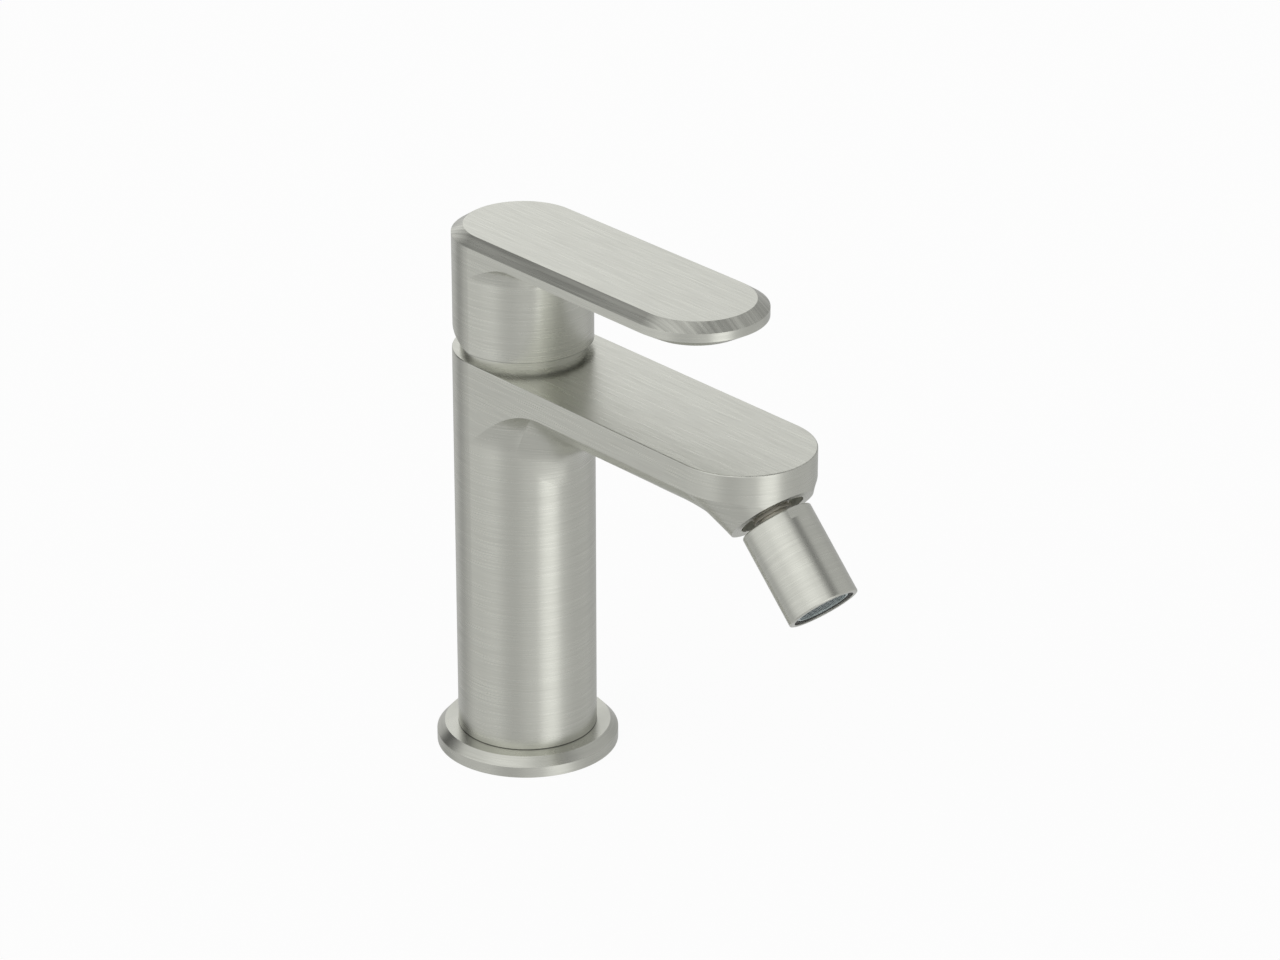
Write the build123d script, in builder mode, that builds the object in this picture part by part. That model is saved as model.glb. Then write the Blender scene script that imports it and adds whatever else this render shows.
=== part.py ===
from build123d import *
import os
from math import asin, cos, radians, sin, sqrt

# Single-lever bidet mixer: a round column with a flat arm, a ceramic-disc cartridge under
# the lever, and a nozzle that swivels on a ball at the end of the arm.
# Lengths are millimetres and angles degrees. The origin is the centre of the base ring's
# underside, which lies on the deck. The arm points along -Y and +Z is up.

os.makedirs("parts", exist_ok=True)

# Clearances that all pieces share, and the overrun of every cut
turning_gap = 0.05
screwed_gap = 0.05
seal_gap = 0.02
overrun = 4.0

# Base ring and its gasket
ring_overhang = 6.5
ring_height = 5.95
ring_bevel_height = 2.6
ring_bevel_width = 2.35
ring_seat_width = 3.5
column_sink = 3.45
gasket_margin = 2.3
gasket_width = 3.2
gasket_thickness = 1.6

# Column tube, and the arm and belly of the body casting
column_radius = 21.0
body_height = 129.1
arm_reach = 95.5
band_height = 8.3
web_radius = 17.0
belly_inset = 2.0
belly_depth = 12.6
body_edge_round = 0.35

# Nose: the round face at the arm's end that carries the nozzle
nozzle_tilt = 45.0
nose_radius = 13.0
nose_offset = 12.2
nose_flare = 1.0
nose_flare_rise = 1.7
belly_bend_radius = 28.0
belly_runout = 12.0
belly_shrink = 0.15
nose_recess_radius = 9.75
nose_recess_depth = 3.5

# Hollow foot, hose sockets, fixing hole and waterways
column_wall = 4.0
spigot_length = 4.0
foot_cavity_depth = 28.0
block_height = 15.5
socket_radius = 4.45
socket_depth = 12.0
socket_offset = 6.5
waterway_radius = 1.9
waterway_offset = 4.6
port_setback = 4.0
block_seal_radius = 3.5
block_seal_section = 0.5
fixing_radius = 3.4
fixing_depth = 15.0
fixing_offset = 9.5
outlet_radius = 4.2
outlet_drop = 14.3

# Cartridge, measured down from its shoulder under the nut
cartridge_radius = 12.4
cartridge_shoulder_depth = 6.1
gland_height = 3.6
chamber_radius = 10.9
carrier_thickness = 3.2
moving_disc_thickness = 3.0
fixed_disc_thickness = 3.4
base_thickness = 4.0
base_rim = 1.4
disc_gap = 0.2
moving_disc_radius = 8.6
notch_inset = 3.3
notch_width = 10.0
disc_port_radius = 1.6
disc_port_offset = 3.4
base_port_offset = 4.0
window_width = 9.0
window_height = 4.6
window_count = 4
ring_chamber_radius = 14.5
ring_chamber_height = 7.0
port_seal_radius = 3.0
port_seal_section = 0.6
gland_seal_section = 0.75

# Turning collar, its stop and limit rings, the pivot and the stem
neck_radius = 10.2
neck_foot_radius = 11.3
neck_height = 8.1
neck_step_height = 5.4
collar_radius = 9.3
collar_flange_radius = 10.5
collar_flange_thickness = 1.5
turn_stop_thickness = 2.0
limit_ring_radius = 11.2
limit_ring_thickness = 1.6
limit_lug_angle = 20.0
stop_lug_angle = 12.0
stop_lug_play = 0.5
turn_angle = 50.0
lift_angle = 20.0
pivot_rise = 0.9
pivot_pin_radius = 1.5
pivot_pin_length = 18.0
carrier_boss_width = 9.2
carrier_boss_grip = 1.5
stem_width = 7.0
stem_height = 18.5
stem_foot_depth = 4.0
stem_tail_length = 10.0
stem_tail_radius = 2.1
stem_ball_radius = 2.7
stem_ball_gap = 0.1

# Retaining nut and cover ring
nut_thread_radius = 14.0
nut_bore_radius = 11.6
nut_hex_width = 26.0
nut_hex_height = 2.3
cover_inset = 2.0
cover_bore_gap = 0.3
cover_height = 2.3
cover_edge_round = 0.4

# Lever
lever_inset = 0.25
lever_reach = 75.6
hub_height = 30.75
lever_bevel_height = 2.35
lever_bevel_width = 3.54
lever_band_height = 2.6
lever_web_radius = 7.0
lever_belly_depth = 3.3
lever_belly_inset = 5.85
lever_lift_off = 0.45
lever_edge_round = 0.3
hub_wall = 3.3
hub_cavity_height = 24.0
hub_boss_radius = 8.0
hub_boss_rise = 6.0
stem_socket_depth = 13.0
screw_rise = 14.5
screw_radius = 2.5
screw_length = 5.0
screw_key_radius = 1.4
screw_key_depth = 2.5
plug_radius = 3.3
plug_head_radius = 3.9
plug_head_thickness = 0.8
plug_sink = 0.25

# Nozzle, its ball stud and its seals; distances run along the nozzle's axis from the nose
nozzle_gap = 2.2
nozzle_radius = 10.72
nozzle_length = 28.2
nozzle_wall = 1.47
nozzle_flat_width = 20.5
nozzle_flat_length = 3.1
nozzle_mouth_radius = 6.2
nozzle_top_round = 0.6
nozzle_end_round = 0.4
ball_radius = 6.5
ball_depth = 9.6
ball_neck_radius = 4.2
ball_neck_gap = 0.15
ball_bore_radius = 2.6
ball_key_width = 6.0
ball_key_depth = 3.0
stud_thread_radius = 5.0
stud_thread_length = 8.5
stud_socket_runout = 4.0
stud_flange_radius = 5.9
stud_flange_reach = 0.5
stud_groove_depth = 0.5
stud_groove_width = 0.8
stud_washer_radius = 7.6
stud_washer_thickness = 1.0
slip_ring_thickness = 1.45
slip_ring_end = 0.7
slip_ring_start = 5.4
seat_washer_start = 1.5
seat_washer_end = 4.9
retainer_thickness = 2.4
retainer_bore_radius = 5.4
aerator_seal_thickness = 1.2
aerator_seal_bore = 6.6
aerator_wall = 1.15
aerator_recess = 0.4
aerator_sleeve_wall = 0.75
aerator_sleeve_length = 3.2
aerator_sleeve_recess = 0.2
screen_recess = 0.9
screen_thickness = 1.0
screen_bar = 0.5
screen_cell = 1.55
screen_rim = 0.6

# Levels and centres worked out from the sizes above
ring_radius = column_radius + ring_overhang
ring_hole_radius = column_radius - ring_seat_width
gasket_outer_radius = ring_radius - gasket_margin
gasket_inner_radius = gasket_outer_radius - gasket_width
foot_height = ring_height - column_sink
band_low = body_height - band_height
belly_low = band_low - belly_depth
belly_radius = column_radius - belly_inset
belly_axis_height = belly_low + belly_radius
outlet_height = body_height - outlet_drop
shoulder_height = body_height - cartridge_shoulder_depth
ledge_height = shoulder_height - gland_height
collar_low = ledge_height - turning_gap - collar_flange_thickness
carrier_shelf = collar_low - disc_gap
carrier_low = carrier_shelf - carrier_thickness
moving_disc_low = carrier_low - moving_disc_thickness
fixed_disc_low = moving_disc_low - fixed_disc_thickness
seat_height = fixed_disc_low - base_thickness
block_low = foot_height + foot_cavity_depth
block_top = block_low + block_height
column_top = block_top + spigot_length
cavity_radius = column_radius - column_wall
rim_top = seat_height + base_rim
neck_step = shoulder_height + neck_step_height
neck_top = shoulder_height + neck_height
stop_low = neck_top + turning_gap
collar_top = stop_low + turn_stop_thickness
pivot_height = body_height + pivot_rise
ball_height = pivot_height - stem_tail_length
carrier_top = ball_height + carrier_boss_grip
pocket_top = carrier_top + disc_gap
nut_flange_low = body_height + cover_height + screwed_gap
well_radius = cartridge_radius + screwed_gap
insert_radius = chamber_radius - screwed_gap
lever_radius = column_radius - lever_inset
hub_low = body_height + cover_height + lever_lift_off
lever_low = hub_low + hub_height
lever_rim = lever_low + lever_band_height
lever_top = lever_rim + lever_bevel_height
hub_ceiling = hub_low + hub_cavity_height
screw_height = hub_low + screw_rise
tilt = radians(nozzle_tilt)
lift = radians(lift_angle)
disc_travel = stem_tail_length * sin(lift)
disc_rest = disc_travel / 2

# The nozzle's axis leaves the nose's face square to it, forwards and down
nose_centre = Vector(
    0,
    -arm_reach - column_radius + nose_offset * cos(tilt),
    band_low - nose_offset * sin(tilt),
)
axis_direction = Vector(0, -sin(tilt), -cos(tilt))
nose_plane = Plane(origin=nose_centre, x_dir=(1, 0, 0), z_dir=axis_direction)
nozzle_section = Plane(origin=nose_centre, x_dir=(1, 0, 0), z_dir=(0, cos(tilt), -sin(tilt)))
nozzle_axis = Axis(nose_centre, axis_direction)
stud_seat = stud_washer_thickness - nose_recess_depth
stud_end = stud_seat - stud_thread_length
shell_end = nozzle_gap + nozzle_length
shell_bore_radius = nozzle_radius - nozzle_wall
seat_washer_low = ball_depth + seat_washer_start
retainer_low = ball_depth + seat_washer_end
aerator_seal_low = retainer_low + retainer_thickness
aerator_low = aerator_seal_low + aerator_seal_thickness
aerator_radius = shell_bore_radius - screwed_gap
aerator_bore_radius = aerator_radius - aerator_wall
sleeve_end = shell_end - aerator_recess - aerator_sleeve_recess
screen_end = shell_end - screen_recess


def save(piece, name):
    """Labels a finished piece and writes it under the same name."""
    piece.part.label = name
    export_step(piece.part, "parts/" + name + ".step")


def round_bar(plane, radius, length, mode=Mode.ADD):
    """A round bar or hole that starts on the plane and runs along its normal."""
    with BuildSketch(plane) as profile:
        Circle(radius)
    extrude(profile.sketch, amount=length, mode=mode)


def slot_outline(reach, radius, height):
    """The outline of the arm or lever: a slot from the column's axis out to the reach."""
    with BuildSketch(Plane((0, -reach / 2, height))) as profile:
        SlotCenterToCenter(reach, 2 * radius, rotation=90)
    return profile.sketch


def slot_plate(reach, radius, low, high, mode=Mode.ADD):
    """An upright plate with the slot outline."""
    extrude(slot_outline(reach, radius, low), amount=high - low, mode=mode)


def turned(points, plane=Plane.XZ, axis=Axis.Z, mode=Mode.ADD):
    """A turned form from its half section, as (radius, distance along the axis) points."""
    with BuildSketch(plane) as profile:
        with BuildLine():
            Polyline(*points, close=True)
        make_face()
    revolve(profile.sketch, axis=axis, mode=mode)


def turned_ring(inner, outer, low, high, mode=Mode.ADD):
    """A plain ring round the column's axis."""
    turned([(inner, low), (outer, low), (outer, high), (inner, high)], mode=mode)


def nozzle_ring(inner, outer, near, far, mode=Mode.ADD):
    """A plain ring round the nozzle's axis, from near to far below the nose's face."""
    points = [(inner, near), (outer, near), (outer, far), (inner, far)]
    turned(points, nozzle_section, nozzle_axis, mode)


def lug(inner, outer, low, high, start, sweep):
    """A piece of a ring that starts at an angle from +X and sweeps on by another."""
    turn = radians(start)
    side = Plane((0, 0, 0), (cos(turn), sin(turn), 0), (sin(turn), -cos(turn), 0))
    with BuildSketch(side) as profile:
        with BuildLine():
            Polyline((inner, low), (outer, low), (outer, high), (inner, high), close=True)
        make_face()
    revolve(profile.sketch, axis=Axis.Z, revolution_arc=sweep)


# Base ring: a bevelled disc with a seat for the column above and a gasket groove below
with BuildPart() as base_ring:
    ring_profile = [
        (ring_hole_radius, 0),
        (gasket_inner_radius - seal_gap, 0),
        (gasket_inner_radius - seal_gap, gasket_thickness + seal_gap),
        (gasket_outer_radius + seal_gap, gasket_thickness + seal_gap),
        (gasket_outer_radius + seal_gap, 0),
        (ring_radius, 0),
        (ring_radius, ring_height - ring_bevel_height),
        (ring_radius - ring_bevel_width, ring_height),
        (column_radius + screwed_gap, ring_height),
        (column_radius + screwed_gap, foot_height),
        (ring_hole_radius, foot_height),
    ]
    turned(ring_profile)
save(base_ring, "base_ring")

# Base gasket, flush with the ring's underside
with BuildPart() as base_gasket:
    turned_ring(gasket_inner_radius, gasket_outer_radius, 0, gasket_thickness)
save(base_gasket, "base_gasket")

# Column: a tube that stands in the base ring, brazed to the body casting above
with BuildPart() as column:
    turned_ring(cavity_radius, column_radius, foot_height, column_top)
save(column, "column")

# Upper column with the hollow round that runs up into the arm's flat underside
with BuildPart() as column_form:
    round_bar(Plane.XY.offset(band_low), column_radius, column_top - band_low)
    round_bar(Plane.XY.offset(band_low), column_radius + web_radius + overrun, band_height)
    corner = edges().filter_by_position(Axis.Z, band_low, band_low).sort_by(SortBy.RADIUS)[0]
    fillet(corner, web_radius)
    slot_plate(arm_reach, column_radius, column_top, body_height, Mode.INTERSECT)

# The belly's bend: its lowest line follows an arc from level down to the nose's rim
rim_radius = nose_radius - belly_shrink
rim_reach = -nose_centre.Y - rim_radius * cos(tilt)
rim_fall = belly_low - nose_centre.Z + rim_radius * sin(tilt)
bend_length = sqrt(2 * belly_bend_radius * rim_fall - rim_fall**2)
bend_start = rim_reach - bend_length
bend_turn = asin(bend_length / belly_bend_radius)
runout_start = bend_start - belly_runout
belly_start = Plane((0, 0, belly_axis_height), (1, 0, 0), (0, -1, 0))

# Belly: a round bar under the arm that runs into the column by the same hollow round
with BuildPart() as belly_form:
    column_end = belly_axis_height + belly_radius + web_radius + overrun
    round_bar(Plane.XY.offset(column_top), column_radius, column_end - column_top)
    round_bar(belly_start, belly_radius, runout_start)
    fillet(edges().filter_by(GeomType.BSPLINE), web_radius)
    slot_plate(arm_reach, column_radius, column_top, body_height, Mode.INTERSECT)

# Belly's end: circles that lean over to the nose's tilt as they shrink to its rim
bend_steps = 4
with BuildPart() as bend_form:
    with BuildSketch(belly_start.offset(runout_start)):
        Circle(belly_radius)
    for step in range(bend_steps + 1):
        share = step / bend_steps
        along = bend_turn * share
        lean = tilt * share
        radius = belly_radius + (rim_radius - belly_radius) * share**2 * (3 - 2 * share)
        reach = bend_start + belly_bend_radius * sin(along) + radius * sin(lean)
        height = belly_low - belly_bend_radius * (1 - cos(along)) + radius * cos(lean)
        with BuildSketch(Plane((0, -reach, height), (1, 0, 0), (0, -cos(lean), -sin(lean)))):
            Circle(radius)
    loft()
    slot_plate(arm_reach, column_radius, column_top, body_height, Mode.INTERSECT)

# Nose: drawn from the arm's round end down to the tilted face
with BuildPart() as nose_form:
    with BuildSketch(Plane((0, -arm_reach, band_low + nose_flare_rise))):
        Circle(column_radius + nose_flare)
    with BuildSketch(nose_plane):
        Circle(nose_radius)
    loft(ruled=True)
    slot_plate(arm_reach, column_radius, column_top, body_height, Mode.INTERSECT)

# Body casting: the four forms under one flat top, then its spigot and bores
with BuildPart() as body:
    slot_plate(arm_reach, column_radius, band_low, body_height)
    add(column_form.part)
    add(belly_form.part)
    add(bend_form.part)
    add(nose_form.part)
    fillet(faces().sort_by(Axis.Z)[-1].outer_wire().edges(), body_edge_round)
    # Spigot that fits in the column, with the two waterways that run up through it
    round_bar(Plane.XY.offset(block_top), cavity_radius - screwed_gap, spigot_length)
    for side in (-1, 1):
        waterway_place = Plane((side * waterway_offset, port_setback, block_top))
        round_bar(waterway_place, waterway_radius, seat_height - block_top, Mode.SUBTRACT)
    # Cartridge well with its ring-shaped outlet chamber, and the nut's thread above it
    well_profile = [
        (0, seat_height),
        (well_radius, seat_height),
        (well_radius, outlet_height - ring_chamber_height / 2),
        (ring_chamber_radius, outlet_height - ring_chamber_height / 2),
        (ring_chamber_radius, outlet_height + ring_chamber_height / 2),
        (well_radius, outlet_height + ring_chamber_height / 2),
        (well_radius, shoulder_height),
        (nut_thread_radius, shoulder_height),
        (nut_thread_radius, body_height + overrun),
        (0, body_height + overrun),
    ]
    turned(well_profile, mode=Mode.SUBTRACT)
    # Nose recess and stud socket, and the outlet bore that meets the socket past the stud
    nozzle_ring(0, stud_thread_radius, stud_end - stud_socket_runout, overrun, Mode.SUBTRACT)
    nozzle_ring(0, nose_recess_radius, -nose_recess_depth, overrun, Mode.SUBTRACT)
    outlet_start = Plane((0, -well_radius, outlet_height), (1, 0, 0), (0, -1, 0))
    outlet_reach = -nose_plane.offset(stud_end).origin.Y - stud_thread_radius * cos(tilt)
    round_bar(outlet_start, outlet_radius, outlet_reach - well_radius, Mode.SUBTRACT)
save(body, "body")


def seal_pair(radius, section, height, mode=Mode.ADD):
    """A pair of square-cut rings round the two waterways, standing on a height."""
    with BuildSketch(Plane.XY.offset(height)) as profile:
        with Locations((-waterway_offset, port_setback), (waterway_offset, port_setback)):
            Circle(radius + section)
            Circle(radius - section, mode=Mode.SUBTRACT)
    extrude(profile.sketch, amount=2 * section, mode=mode)


# Hose block: screwed into the column, with two hose sockets and the fixing stud's blind hole
with BuildPart() as hose_block:
    round_bar(Plane.XY.offset(block_low), cavity_radius - screwed_gap, block_height)
    for side in (-1, 1):
        socket_place = Plane((side * socket_offset, port_setback, block_low))
        round_bar(socket_place, socket_radius, socket_depth, Mode.SUBTRACT)
        waterway_place = Plane((side * waterway_offset, port_setback, block_low))
        round_bar(waterway_place, waterway_radius, block_height, Mode.SUBTRACT)
    fixing_place = Plane((0, -fixing_offset, block_low))
    round_bar(fixing_place, fixing_radius, fixing_depth, Mode.SUBTRACT)
    block_groove_low = block_top - 2 * (block_seal_section + seal_gap)
    seal_pair(block_seal_radius, block_seal_section + seal_gap, block_groove_low, Mode.SUBTRACT)
save(hose_block, "hose_block")

# Block seals: a pair of square-cut rings in one node
with BuildPart() as block_seals:
    seal_pair(block_seal_radius, block_seal_section, block_top - 2 * block_seal_section - seal_gap)
save(block_seals, "block_seals")

# Cartridge base with a seal groove round each port
with BuildPart() as cartridge_base:
    round_bar(Plane.XY.offset(seat_height), cartridge_radius, base_rim)
    round_bar(Plane.XY.offset(rim_top), insert_radius, base_thickness - base_rim)
    seal_pair(port_seal_radius, port_seal_section + seal_gap, seat_height, Mode.SUBTRACT)
    with BuildSketch(Plane.XY.offset(seat_height)):
        with Locations((-base_port_offset, port_setback), (base_port_offset, port_setback)):
            Circle(disc_port_radius)
    extrude(amount=base_thickness, mode=Mode.SUBTRACT)
save(cartridge_base, "cartridge_base")

# Port seals: a pair of square-cut rings in one node
with BuildPart() as port_seals:
    seal_pair(port_seal_radius, port_seal_section, seat_height + seal_gap)
save(port_seals, "port_seals")

# Fixed ceramic disc
with BuildPart() as fixed_disc:
    with BuildSketch(Plane.XY.offset(fixed_disc_low)):
        Circle(insert_radius)
        with Locations((-disc_port_offset, port_setback), (disc_port_offset, port_setback)):
            Circle(disc_port_radius, mode=Mode.SUBTRACT)
    extrude(amount=fixed_disc_thickness)
save(fixed_disc, "fixed_disc")


def notched_disc(low, thickness):
    """A disc that stands back by half its travel, open at its rear edge for the water."""
    with BuildSketch(Plane((0, disc_rest, low))) as profile:
        Circle(moving_disc_radius)
        with Locations((0, moving_disc_radius)):
            Rectangle(notch_width, 2 * notch_inset, mode=Mode.SUBTRACT)
    extrude(profile.sketch, amount=thickness)


# Moving ceramic disc: whole over both ports when shut, its notch over them when open
with BuildPart() as moving_disc:
    notched_disc(moving_disc_low, moving_disc_thickness)
save(moving_disc, "moving_disc")

# Disc carrier: a plate on the disc with a square boss that slides in the turning collar
with BuildPart() as disc_carrier:
    notched_disc(carrier_low, carrier_thickness)
    with BuildSketch(Plane((0, disc_rest, carrier_shelf))):
        Rectangle(carrier_boss_width, carrier_boss_width)
    extrude(amount=carrier_top - carrier_shelf)
    ball_socket_radius = stem_ball_radius + stem_ball_gap
    ball_socket_low = ball_height - ball_socket_radius
    ball_socket_place = Plane.XY.offset(ball_socket_low)
    round_bar(ball_socket_place, ball_socket_radius, carrier_top - ball_socket_low, Mode.SUBTRACT)
save(disc_carrier, "disc_carrier")

# Cartridge housing: skirt with outlet windows, seal groove, shoulder and stepped neck
seal_height = (shoulder_height + ledge_height) / 2
seal_half = gland_seal_section + seal_gap
seal_groove_radius = well_radius - 2 * gland_seal_section - 2 * seal_gap
with BuildPart() as cartridge_housing:
    housing_profile = [
        (chamber_radius, rim_top),
        (cartridge_radius, rim_top),
        (cartridge_radius, seal_height - seal_half),
        (seal_groove_radius, seal_height - seal_half),
        (seal_groove_radius, seal_height + seal_half),
        (cartridge_radius, seal_height + seal_half),
        (cartridge_radius, shoulder_height),
        (neck_foot_radius, shoulder_height),
        (neck_foot_radius, neck_step),
        (neck_radius, neck_step),
        (neck_radius, neck_top),
        (collar_radius + turning_gap, neck_top),
        (collar_radius + turning_gap, ledge_height),
        (chamber_radius, ledge_height),
    ]
    turned(housing_profile)
    for window in range(window_count):
        turn = radians(360 * window / window_count)
        across = (-sin(turn), cos(turn), 0)
        outward = (cos(turn), sin(turn), 0)
        with BuildSketch(Plane((0, 0, outlet_height), across, outward)):
            Rectangle(window_width, window_height)
        extrude(amount=ring_chamber_radius, mode=Mode.SUBTRACT)
save(cartridge_housing, "cartridge_housing")

# Gland seal: the ring that closes the housing's groove against the body
with BuildPart() as gland_seal:
    with BuildSketch(Plane.XZ):
        with Locations((seal_groove_radius + seal_half, seal_height)):
            Circle(gland_seal_section)
    revolve(axis=Axis.Z)
save(gland_seal, "gland_seal")

# Turning collar: slotted for the stem, with a pocket below for the carrier's boss
slot_length = 2 * (stem_ball_radius + disc_travel + 2 * turning_gap)
pocket_length = carrier_boss_width + 2 * disc_rest + 2 * turning_gap
with BuildPart() as turning_collar:
    round_bar(Plane.XY.offset(collar_low), collar_flange_radius, collar_flange_thickness)
    round_bar(Plane.XY.offset(collar_low), collar_radius, collar_top - collar_low)
    with BuildSketch(Plane.XY.offset(collar_low)):
        Rectangle(stem_width + 2 * turning_gap, slot_length)
    extrude(amount=collar_top - collar_low, mode=Mode.SUBTRACT)
    with BuildSketch(Plane.XY.offset(collar_low)):
        Rectangle(carrier_boss_width + 2 * turning_gap, pocket_length)
    extrude(amount=pocket_top - collar_low, mode=Mode.SUBTRACT)
    pin_place = Plane((-pivot_pin_length / 2, 0, pivot_height), (0, 1, 0), (1, 0, 0))
    round_bar(pin_place, pivot_pin_radius, pivot_pin_length, Mode.SUBTRACT)
save(turning_collar, "turning_collar")

# Pivot pin, held in the collar and kept in by the neck around it
with BuildPart() as pivot_pin:
    round_bar(pin_place, pivot_pin_radius, pivot_pin_length)
save(pivot_pin, "pivot_pin")

# Turn stop: a ring on the collar's head, with the lug that meets the limit ring
with BuildPart() as turn_stop:
    turned_ring(collar_radius, neck_radius, stop_low, collar_top)
    lug_start = 90 - stop_lug_angle / 2
    lug_reach = limit_ring_radius
    lug(collar_radius, lug_reach, stop_low, collar_top, lug_start, stop_lug_angle)
save(turn_stop, "turn_stop")

# Hot limit ring: clipped round the neck, its two lugs limit the turn to each side
lug_clear = neck_radius + screwed_gap
free_angle = turn_angle + stop_lug_play + stop_lug_angle / 2
with BuildPart() as hot_limit_ring:
    turned_ring(lug_clear, limit_ring_radius, neck_step, neck_step + limit_ring_thickness)
    for start in (90 + free_angle, 90 - free_angle - limit_lug_angle):
        lug(lug_clear, limit_ring_radius, neck_step, collar_top, start, limit_lug_angle)
save(hot_limit_ring, "hot_limit_ring")

# Lever stem: square above the pivot, with a thin tail and a ball that moves the carrier
with BuildPart() as lever_stem:
    stem_low = pivot_height - stem_foot_depth
    with BuildSketch(Plane.XY.offset(stem_low)):
        Rectangle(stem_width, stem_width)
    extrude(amount=stem_foot_depth + stem_height)
    round_bar(Plane.XY.offset(ball_height), stem_tail_radius, stem_low - ball_height)
    with Locations((0, 0, ball_height)):
        Sphere(stem_ball_radius)
    hole_place = Plane((-stem_width / 2, 0, pivot_height), (0, 1, 0), (1, 0, 0))
    round_bar(hole_place, pivot_pin_radius + turning_gap, stem_width, Mode.SUBTRACT)
save(lever_stem, "lever_stem")

# Retaining nut: threaded shank in the body, with a hexagon over the cover ring
with BuildPart() as retaining_nut:
    shank_radius = nut_thread_radius - screwed_gap
    shank_height = nut_flange_low - shoulder_height
    round_bar(Plane.XY.offset(shoulder_height), shank_radius, shank_height)
    with BuildSketch(Plane.XY.offset(nut_flange_low)):
        RegularPolygon(nut_hex_width / 2, 6, major_radius=False)
    extrude(amount=nut_hex_height)
    round_bar(
        Plane.XY.offset(shoulder_height),
        nut_bore_radius,
        shank_height + nut_hex_height,
        Mode.SUBTRACT,
    )
save(retaining_nut, "retaining_nut")

# Cover ring between the body and the lever's hub
with BuildPart() as cover_ring:
    cover_radius = lever_radius - cover_inset
    cover_top = body_height + cover_height
    turned_ring(nut_thread_radius + cover_bore_gap, cover_radius, body_height, cover_top)
    rim = edges().filter_by_position(Axis.Z, cover_top, cover_top).sort_by(SortBy.RADIUS)[-1]
    fillet(rim, cover_edge_round)
save(cover_ring, "cover_ring")

# Lever's hub, run into the underside of its plate by a hollow round
with BuildPart() as hub_form:
    round_bar(Plane.XY.offset(lever_low), lever_radius, hub_low - lever_low)
    skirt_radius = lever_radius + lever_web_radius + overrun
    round_bar(Plane.XY.offset(lever_low), skirt_radius, lever_band_height)
    corner = edges().filter_by_position(Axis.Z, lever_low, lever_low).sort_by(SortBy.RADIUS)[0]
    fillet(corner, lever_web_radius)
    slot_plate(lever_reach, lever_radius, hub_low, lever_rim, Mode.INTERSECT)

# Lever: plate with a bevelled top and a shallow belly, on the hub
with BuildPart() as lever:
    slot_plate(lever_reach, lever_radius, lever_low, lever_rim)
    loft(
        [
            slot_outline(lever_reach, lever_radius, lever_rim),
            slot_outline(lever_reach, lever_radius - lever_bevel_width, lever_top),
        ]
    )
    loft(
        [
            slot_outline(lever_reach, lever_radius - lever_belly_inset, lever_low - lever_belly_depth),
            slot_outline(lever_reach, lever_radius, lever_low),
        ]
    )
    add(hub_form.part)
    fillet(faces().sort_by(Axis.Z)[-1].outer_wire().edges(), lever_edge_round)
    # Hub's cavity, with the boss that grips the stem hanging from its ceiling
    hub_cavity_radius = lever_radius - hub_wall
    boss_low = hub_low + hub_boss_rise
    turned_ring(0, hub_cavity_radius, hub_low, boss_low, Mode.SUBTRACT)
    turned_ring(hub_boss_radius, hub_cavity_radius, boss_low, hub_ceiling, Mode.SUBTRACT)
    with BuildSketch(Plane.XY.offset(boss_low)):
        Rectangle(stem_width + 2 * screwed_gap, stem_width + 2 * screwed_gap)
    extrude(amount=stem_socket_depth, mode=Mode.SUBTRACT)
    # Relief under the hub's rear, so that the lever can lift
    relief_reach = lever_radius + overrun
    with BuildSketch(Plane.YZ):
        with BuildLine():
            Polyline(
                (0, hub_low),
                (relief_reach, hub_low + relief_reach * sin(lift) / cos(lift)),
                (relief_reach, hub_low),
                close=True,
            )
        make_face()
    extrude(amount=relief_reach, both=True, mode=Mode.SUBTRACT)
    # Screw's hole through the boss, with the plug's hole and head seat in the hub's wall
    screw_start = stem_width / 2 + screwed_gap
    plug_head_start = lever_radius - plug_sink - plug_head_thickness
    screw_place = Plane((0, 0, screw_height), (1, 0, 0), (0, 1, 0))
    round_bar(screw_place, screw_radius, hub_boss_radius + overrun, Mode.SUBTRACT)
    cavity_place = screw_place.offset(hub_boss_radius + overrun)
    plug_hole_length = lever_radius - hub_boss_radius
    round_bar(cavity_place, plug_radius, plug_hole_length, Mode.SUBTRACT)
    head_place = screw_place.offset(plug_head_start)
    round_bar(head_place, plug_head_radius + screwed_gap, overrun, Mode.SUBTRACT)
save(lever, "lever")

# Set screw with its key socket
with BuildPart() as set_screw:
    round_bar(screw_place.offset(screw_start), screw_radius - screwed_gap, screw_length)
    key_place = screw_place.offset(screw_start + screw_length - screw_key_depth)
    with BuildSketch(key_place):
        RegularPolygon(screw_key_radius, 6)
    extrude(amount=screw_key_depth, mode=Mode.SUBTRACT)
save(set_screw, "set_screw")

# Screw plug: a shank in the hub's wall with a head seated below its surface
with BuildPart() as screw_plug:
    plug_length = plug_head_start + plug_head_thickness - hub_cavity_radius
    round_bar(screw_place.offset(hub_cavity_radius), plug_radius - screwed_gap, plug_length)
    round_bar(head_place, plug_head_radius, plug_head_thickness)
save(screw_plug, "screw_plug")

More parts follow.
